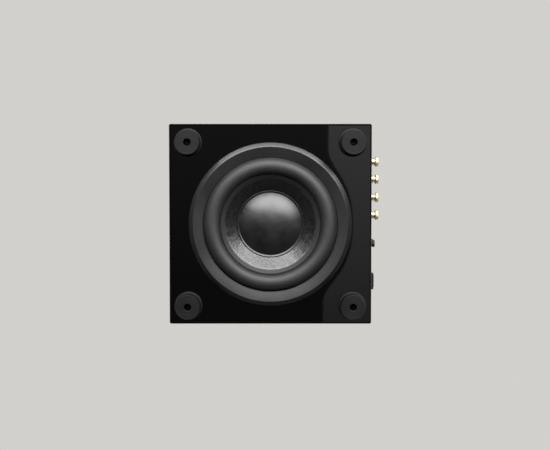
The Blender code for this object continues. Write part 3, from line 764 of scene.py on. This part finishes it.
# ------------------------------------------------------------------ knobs with scales
def ink(name, bars):
    """Small printed bars on the plate: (x, z, width, height, angle)."""
    bm = bmesh.new()
    for x, z, w, h, a in bars:
        part = bmesh.new()
        bmesh.ops.create_cube(part, size=1.0)
        bmesh.ops.scale(part, verts=part.verts, vec=(w, 0.06, h))
        bmesh.ops.rotate(part, verts=part.verts, cent=(0, 0, 0), matrix=Matrix.Rotation(a, 3, "Y"))
        bmesh.ops.translate(part, verts=part.verts, vec=(x, Y1 + 0.04, z))
        me = bpy.data.meshes.new("t")
        part.to_mesh(me)
        part.free()
        bm.from_mesh(me)
        bpy.data.meshes.remove(me)
    bmesh.ops.scale(bm, verts=bm.verts, vec=(MM, MM, MM))
    ob = to_mesh_object(name, bm, MAT["print"])
    return place(ob, ROOT, ())


for (x, z), key, body in zip(knobs, ("gain_knob", "crossover_knob"), ("gain_control", "crossover_control")):

    def flute(th, r, h):
        if r > 4.85 and 6.9 < h < 9.7:
            return r - 0.16 * (0.5 + 0.5 * math.cos(30 * th))
        return r

    prof = [(2.35, 7.3), (2.35, 2.6)]
    prof += fillet([(2.6, 2.4, 0), (4.2, 2.4, 0.3), (4.2, 6.3, 0.3), (5.0, 6.6, 0.2), (5.1, 6.95, 0.1)], 0.2, 3, closed=False)
    prof += [(5.1, 7.6), (5.1, 8.6), (5.1, 9.5)]
    prof += fillet([(5.0, 9.75, 0), (4.7, 10.1, 0.2), (3.2, 10.1, 0.2), (2.8, 9.85, 0.2)], 0.2, 3, closed=False)
    k = lathe(key + "_fluted", [(0, 7.3)] + prof + [(0, 9.85)], 180, MAT["knob"], (x, Y1, z), "Y", closed=False, wobble=flute, sharp=50)
    place(k, body, (key,))
    p = to_mesh_object(key + "_pointer", block_bm((x - 0.32, x + 0.32), (Y1 + 9.75, Y1 + 10.13), (z + 2.9, z + 4.75), 0.08, 2), MAT["print"])
    place(p, body, ())
    bars = []
    for t in range(11):
        a = math.radians(-150 + 30 * t)
        rr = 8.0
        long = t in (0, 5, 10)
        bars.append((x - (rr + (0.6 if long else 0.3)) * math.sin(a), z + (rr + (0.6 if long else 0.3)) * math.cos(a), 0.35, 2.2 if long else 1.5, -a))
    ink(key + "_scale", bars)

marks = []
for i, (x, z) in enumerate(posts):
    marks.append((x, z + 13.0, 3.4, 0.5, 0.0))
    if i % 2 == 0:
        marks.append((x, z + 13.0, 0.5, 3.4, 0.0))
ink("polarity_marks", marks)
pair = []
for a, b in ((0, 1), (2, 3)):
    xa, xb, z = posts[a][0], posts[b][0], posts[a][1]
    pair.append(((xa + xb) / 2, z + 18.5, abs(xa - xb), 0.4, 0.0))
    pair.append((xa, z + 17.4, 0.4, 2.6, 0.0))
    pair.append((xb, z + 17.4, 0.4, 2.6, 0.0))
ink("terminal_pair_brackets", pair)
ink("phase_marks", [(PH[0] + 0.0, PH[1] + 7.0, 0.4, 2.2, 0.0), (PH[0] + 0.0, PH[1] - 7.0, 0.4, 2.2, 0.0)])

# phase lever: polished bat lever, in its rest tilt
bat = fillet([(0.95, 1.1, 0.1), (1.35, 4.1, 0.6), (0.95, 5.0, 0.5)], 0.3, 5, closed=False)
lev = lathe("phase_lever_bat", [(0, 1.1)] + bat + [(0, 5.2)], 40, MAT["zinc"], (0, 0, 0), "Y", closed=False, sharp=50)
lev.data.transform(Matrix.Translation(Vector((PH[0], Y1 + 1.0, PH[1])) * MM) @ Matrix.Rotation(math.radians(12), 4, "X"))
place(lev, "phase_lever", ("phase_switch_lever",))


# ------------------------------------------------------------------ CAD nodes that stay: finished edges and materials
def dress(node, mat, edge=0.0, seg=2):
    ob = NODES[node]
    ob.data.materials.clear()
    ob.data.materials.append(mat)
    if edge > 0:
        m = ob.modifiers.new("edge", "BEVEL")
        m.width = edge * MM
        m.segments = seg
        m.limit_method = "ANGLE"
        m.angle_limit = math.radians(30)
        w = ob.modifiers.new("weighted", "WEIGHTED_NORMAL")
        w.keep_sharp = True


dress("rocker_housing", MAT["bezel"], 0.35, 3)
dress("power_rocker", MAT["knob"], 0.3, 3)
dress("mains_inlet", MAT["moulding"], 0.35, 3)
dress("inlet_contacts", MAT["zinc"], 0.2, 2)
dress("fuse_drawer", MAT["moulding"], 0.25, 2)
dress("control_board", MAT["zinc"])
dress("amp_board", MAT["board"])
dress("amp_gasket", MAT["foam"])
dress("driver_gasket", MAT["foam"])
dress("heat_sink", MAT["alloy"], 0.2, 1)
dress("toroidal_transformer", MAT["tape"])
dress("internal_brace", MAT["mdf"], 0.4, 1)
dress("damping_wadding", MAT["wadding"], 6.0, 3)
dress("driver_basket", MAT["casting"])
dress("magnet_top_plate", MAT["steel"])
dress("magnet_ring", MAT["ferrite"])
dress("pole_yoke", MAT["steel"])
dress("voice_coil_former", MAT["foil"])
dress("voice_coil_winding", MAT["copper"])
for i in range(1, 5):
    dress("driver_screw_%d" % i, MAT["bolt"])

# ------------------------------------------------------------------ stage: world, floor, lights
scene.view_settings.view_transform = "Standard"
PALE = (0.642, 0.632, 0.604)
world = bpy.data.worlds.new("studio")
scene.world = world
world.use_nodes = True
wn = world.node_tree
wn.nodes.clear()
out = wn.nodes.new("ShaderNodeOutputWorld")
mix = wn.nodes.new("ShaderNodeMixShader")
path = wn.nodes.new("ShaderNodeLightPath")
bg = wn.nodes.new("ShaderNodeBackground")
bg.inputs["Color"].default_value = (*PALE, 1)
env = wn.nodes.new("ShaderNodeBackground")
tc = wn.nodes.new("ShaderNodeTexCoord")
sep = wn.nodes.new("ShaderNodeSeparateXYZ")
wr = wn.nodes.new("ShaderNodeValToRGB")
mr = wn.nodes.new("ShaderNodeMapRange")
mr.inputs["From Min"].default_value = -1.0
wn.links.new(tc.outputs["Generated"], sep.inputs[0])
wn.links.new(sep.outputs["Z"], mr.inputs["Value"])
wn.links.new(mr.outputs["Result"], wr.inputs["Fac"])
cr = wr.color_ramp
cr.elements[0].position, cr.elements[0].color = 0.0, (0.085, 0.084, 0.082, 1)
cr.elements[1].position, cr.elements[1].color = 1.0, (0.80, 0.80, 0.80, 1)
for p, c in ((0.04, 0.08), (0.12, 0.055), (0.40, 0.045), (0.47, 0.10), (0.52, 0.40), (0.6, 0.60)):
    e = cr.elements.new(p)
    e.color = (c, c, c * 1.01, 1)
lift = wn.nodes.new("ShaderNodeMapRange")
lift.inputs["From Min"].default_value = -0.10
lift.inputs["From Max"].default_value = 0.06
lift.inputs["To Min"].default_value = 0.95
lift.inputs["To Max"].default_value = 2.1
wn.links.new(sep.outputs["X"], lift.inputs["Value"])
down = wn.nodes.new("ShaderNodeMapRange")
down.inputs["From Min"].default_value = -0.97
down.inputs["From Max"].default_value = -0.985
wn.links.new(sep.outputs["Z"], down.inputs["Value"])
gain = wn.nodes.new("ShaderNodeMix")
gain.data_type = "FLOAT"
gain.inputs[2].default_value = 1.0
wn.links.new(down.outputs["Result"], gain.inputs[0])
wn.links.new(lift.outputs["Result"], gain.inputs[3])
wn.links.new(gain.outputs[0], env.inputs["Strength"])
wn.links.new(wr.outputs["Color"], env.inputs["Color"])
wn.links.new(path.outputs["Is Camera Ray"], mix.inputs["Fac"])
wn.links.new(env.outputs[0], mix.inputs[1])
wn.links.new(bg.outputs[0], mix.inputs[2])
wn.links.new(mix.outputs[0], out.inputs["Surface"])

# a floor that is solid from above and clear from below
bm = bmesh.new()
bmesh.ops.create_grid(bm, x_segments=1, y_segments=1, size=9.0)
me = bpy.data.meshes.new("floor")
bm.to_mesh(me)
bm.free()
floor = bpy.data.objects.new("floor", me)
scene.collection.objects.link(floor)
fm = bpy.data.materials.new("floor_pale")
fm.use_nodes = True
ft = fm.node_tree
fb = ft.nodes["Principled BSDF"]
fb.inputs["Base Color"].default_value = (0.80, 0.79, 0.765, 1)
fb.inputs["Roughness"].default_value = 0.8
fo = ft.nodes["Material Output"]
geo = ft.nodes.new("ShaderNodeNewGeometry")
tr = ft.nodes.new("ShaderNodeBsdfTransparent")
mx = ft.nodes.new("ShaderNodeMixShader")
ft.links.new(geo.outputs["Backfacing"], mx.inputs["Fac"])
ft.links.new(fb.outputs[0], mx.inputs[1])
ft.links.new(tr.outputs[0], mx.inputs[2])
ft.links.new(mx.outputs[0], fo.inputs["Surface"])
me.materials.append(fm)
floor.visible_shadow = False
floor.visible_glossy = False
floor.visible_diffuse = False
floor.visible_transmission = False

driver_parts = bpy.data.collections.new("lit_by_key")
for ob in scene.objects:
    if ob.type == "MESH" and ob.name not in ("cabinet_shell", "floor", "amplifier_plate"):
        driver_parts.objects.link(ob)


def area(name, loc, target, w, h, radiance, color=(1, 1, 1), only=None):
    d = bpy.data.lights.new(name, "AREA")
    d.shape = "RECTANGLE"
    d.size, d.size_y = w, h
    d.energy = radiance * math.pi * w * h
    d.color = color
    ob = bpy.data.objects.new(name, d)
    scene.collection.objects.link(ob)
    ob.location = loc
    look(ob, target)
    ob.visible_camera = False
    if only is not None:
        ob.light_linking.receiver_collection = only
    return ob


soft_parts = bpy.data.collections.new("lit_by_soft_front")
for ob in (surround, cone, cap):
    soft_parts.objects.link(ob)
KEY_E = math.radians(43.0)
KEY_D = 1.25
KEY_A = math.radians(7.5)
area("key", (KEY_D * math.cos(KEY_E) * math.cos(KEY_A), CY * MM + KEY_D * math.cos(KEY_E) * math.sin(KEY_A), Z0 * MM - KEY_D * math.sin(KEY_E)), (0, CY * MM, 0.02), 2.5, 1.0, 7.2, only=driver_parts)
area("soft_front", (0.1, 0.35, -1.7), (0, CY * MM, 0.02), 1.5, 1.5, 0.32, only=soft_parts)
area("top", (0.15, -0.25, 2.1), (0, 0, 0.15), 1.6, 1.6, 1.4)
area("front_fill", (-1.5, -1.8, 1.1), (0, 0, 0.15), 1.1, 1.1, 1.1)
area("back_fill", (0.9, 2.0, 1.2), (0, 0, 0.15), 1.1, 1.1, 1.2)

# card reflected by the underside's lacquer, on the side of the terminals
card_z = -1.0
mirror = Vector((cam.location.x, cam.location.y, 2 * Z0 * MM - cam.location.z))


def on_card(x, y):
    """Where the card must be for the lacquer at (x, y) mm to mirror it to the camera."""
    p = Vector((x * MM, y * MM, Z0 * MM))
    return mirror + (p - mirror) * ((mirror.z - card_z) / (mirror.z - p.z))


edge = []
for k in range(41):
    x = 165.0 - 330.0 * k / 40
    y = 80.0 if x > 0 else 73.0
    line = y
    rr = RING_R + 5.5 - 4.6 * min(1.0, max(0.0, (90 - abs(x)) / 85.0))
    if abs(x) < rr:
        arc_y = math.sqrt(rr * rr - x * x)
        # ease from the straight edge into the arc
        line = max(y, arc_y) + 3.0 * math.exp(-((arc_y - y) / 9.0) ** 2)
    edge.append((x, CY + line))
bm = bmesh.new()
left = [bm.verts.new(on_card(x, y)) for x, y in edge]
right = [bm.verts.new(on_card(x, CY + 330.0)) for x, y in edge]
for k in range(len(edge) - 1):
    bm.faces.new((left[k], left[k + 1], right[k + 1], right[k]))
me = bpy.data.meshes.new("reflector_card")
bm.to_mesh(me)
bm.free()
card = bpy.data.objects.new("reflector_card", me)
scene.collection.objects.link(card)
km = bpy.data.materials.new("card_glow")
km.use_nodes = True
kt = km.node_tree
kt.nodes.clear()
ko = kt.nodes.new("ShaderNodeOutputMaterial")
ke = kt.nodes.new("ShaderNodeEmission")
kc = kt.nodes.new("ShaderNodeTexCoord")
ks = kt.nodes.new("ShaderNodeSeparateXYZ")
kr = kt.nodes.new("ShaderNodeMapRange")
kr.inputs["From Min"].default_value = -0.26
kr.inputs["From Max"].default_value = 0.22
kr.inputs["To Min"].default_value = 0.34
kr.inputs["To Max"].default_value = 0.86
kt.links.new(kc.outputs["Object"], ks.inputs[0])
kt.links.new(ks.outputs["X"], kr.inputs["Value"])
kt.links.new(kr.outputs["Result"], ke.inputs["Strength"])
kt.links.new(ke.outputs[0], ko.inputs["Surface"])
me.materials.append(km)
card.visible_camera = False
card.visible_diffuse = False
card.visible_shadow = False
lacquer_only = bpy.data.collections.new("lit_by_card")
lacquer_only.objects.link(shell)
card.light_linking.receiver_collection = lacquer_only
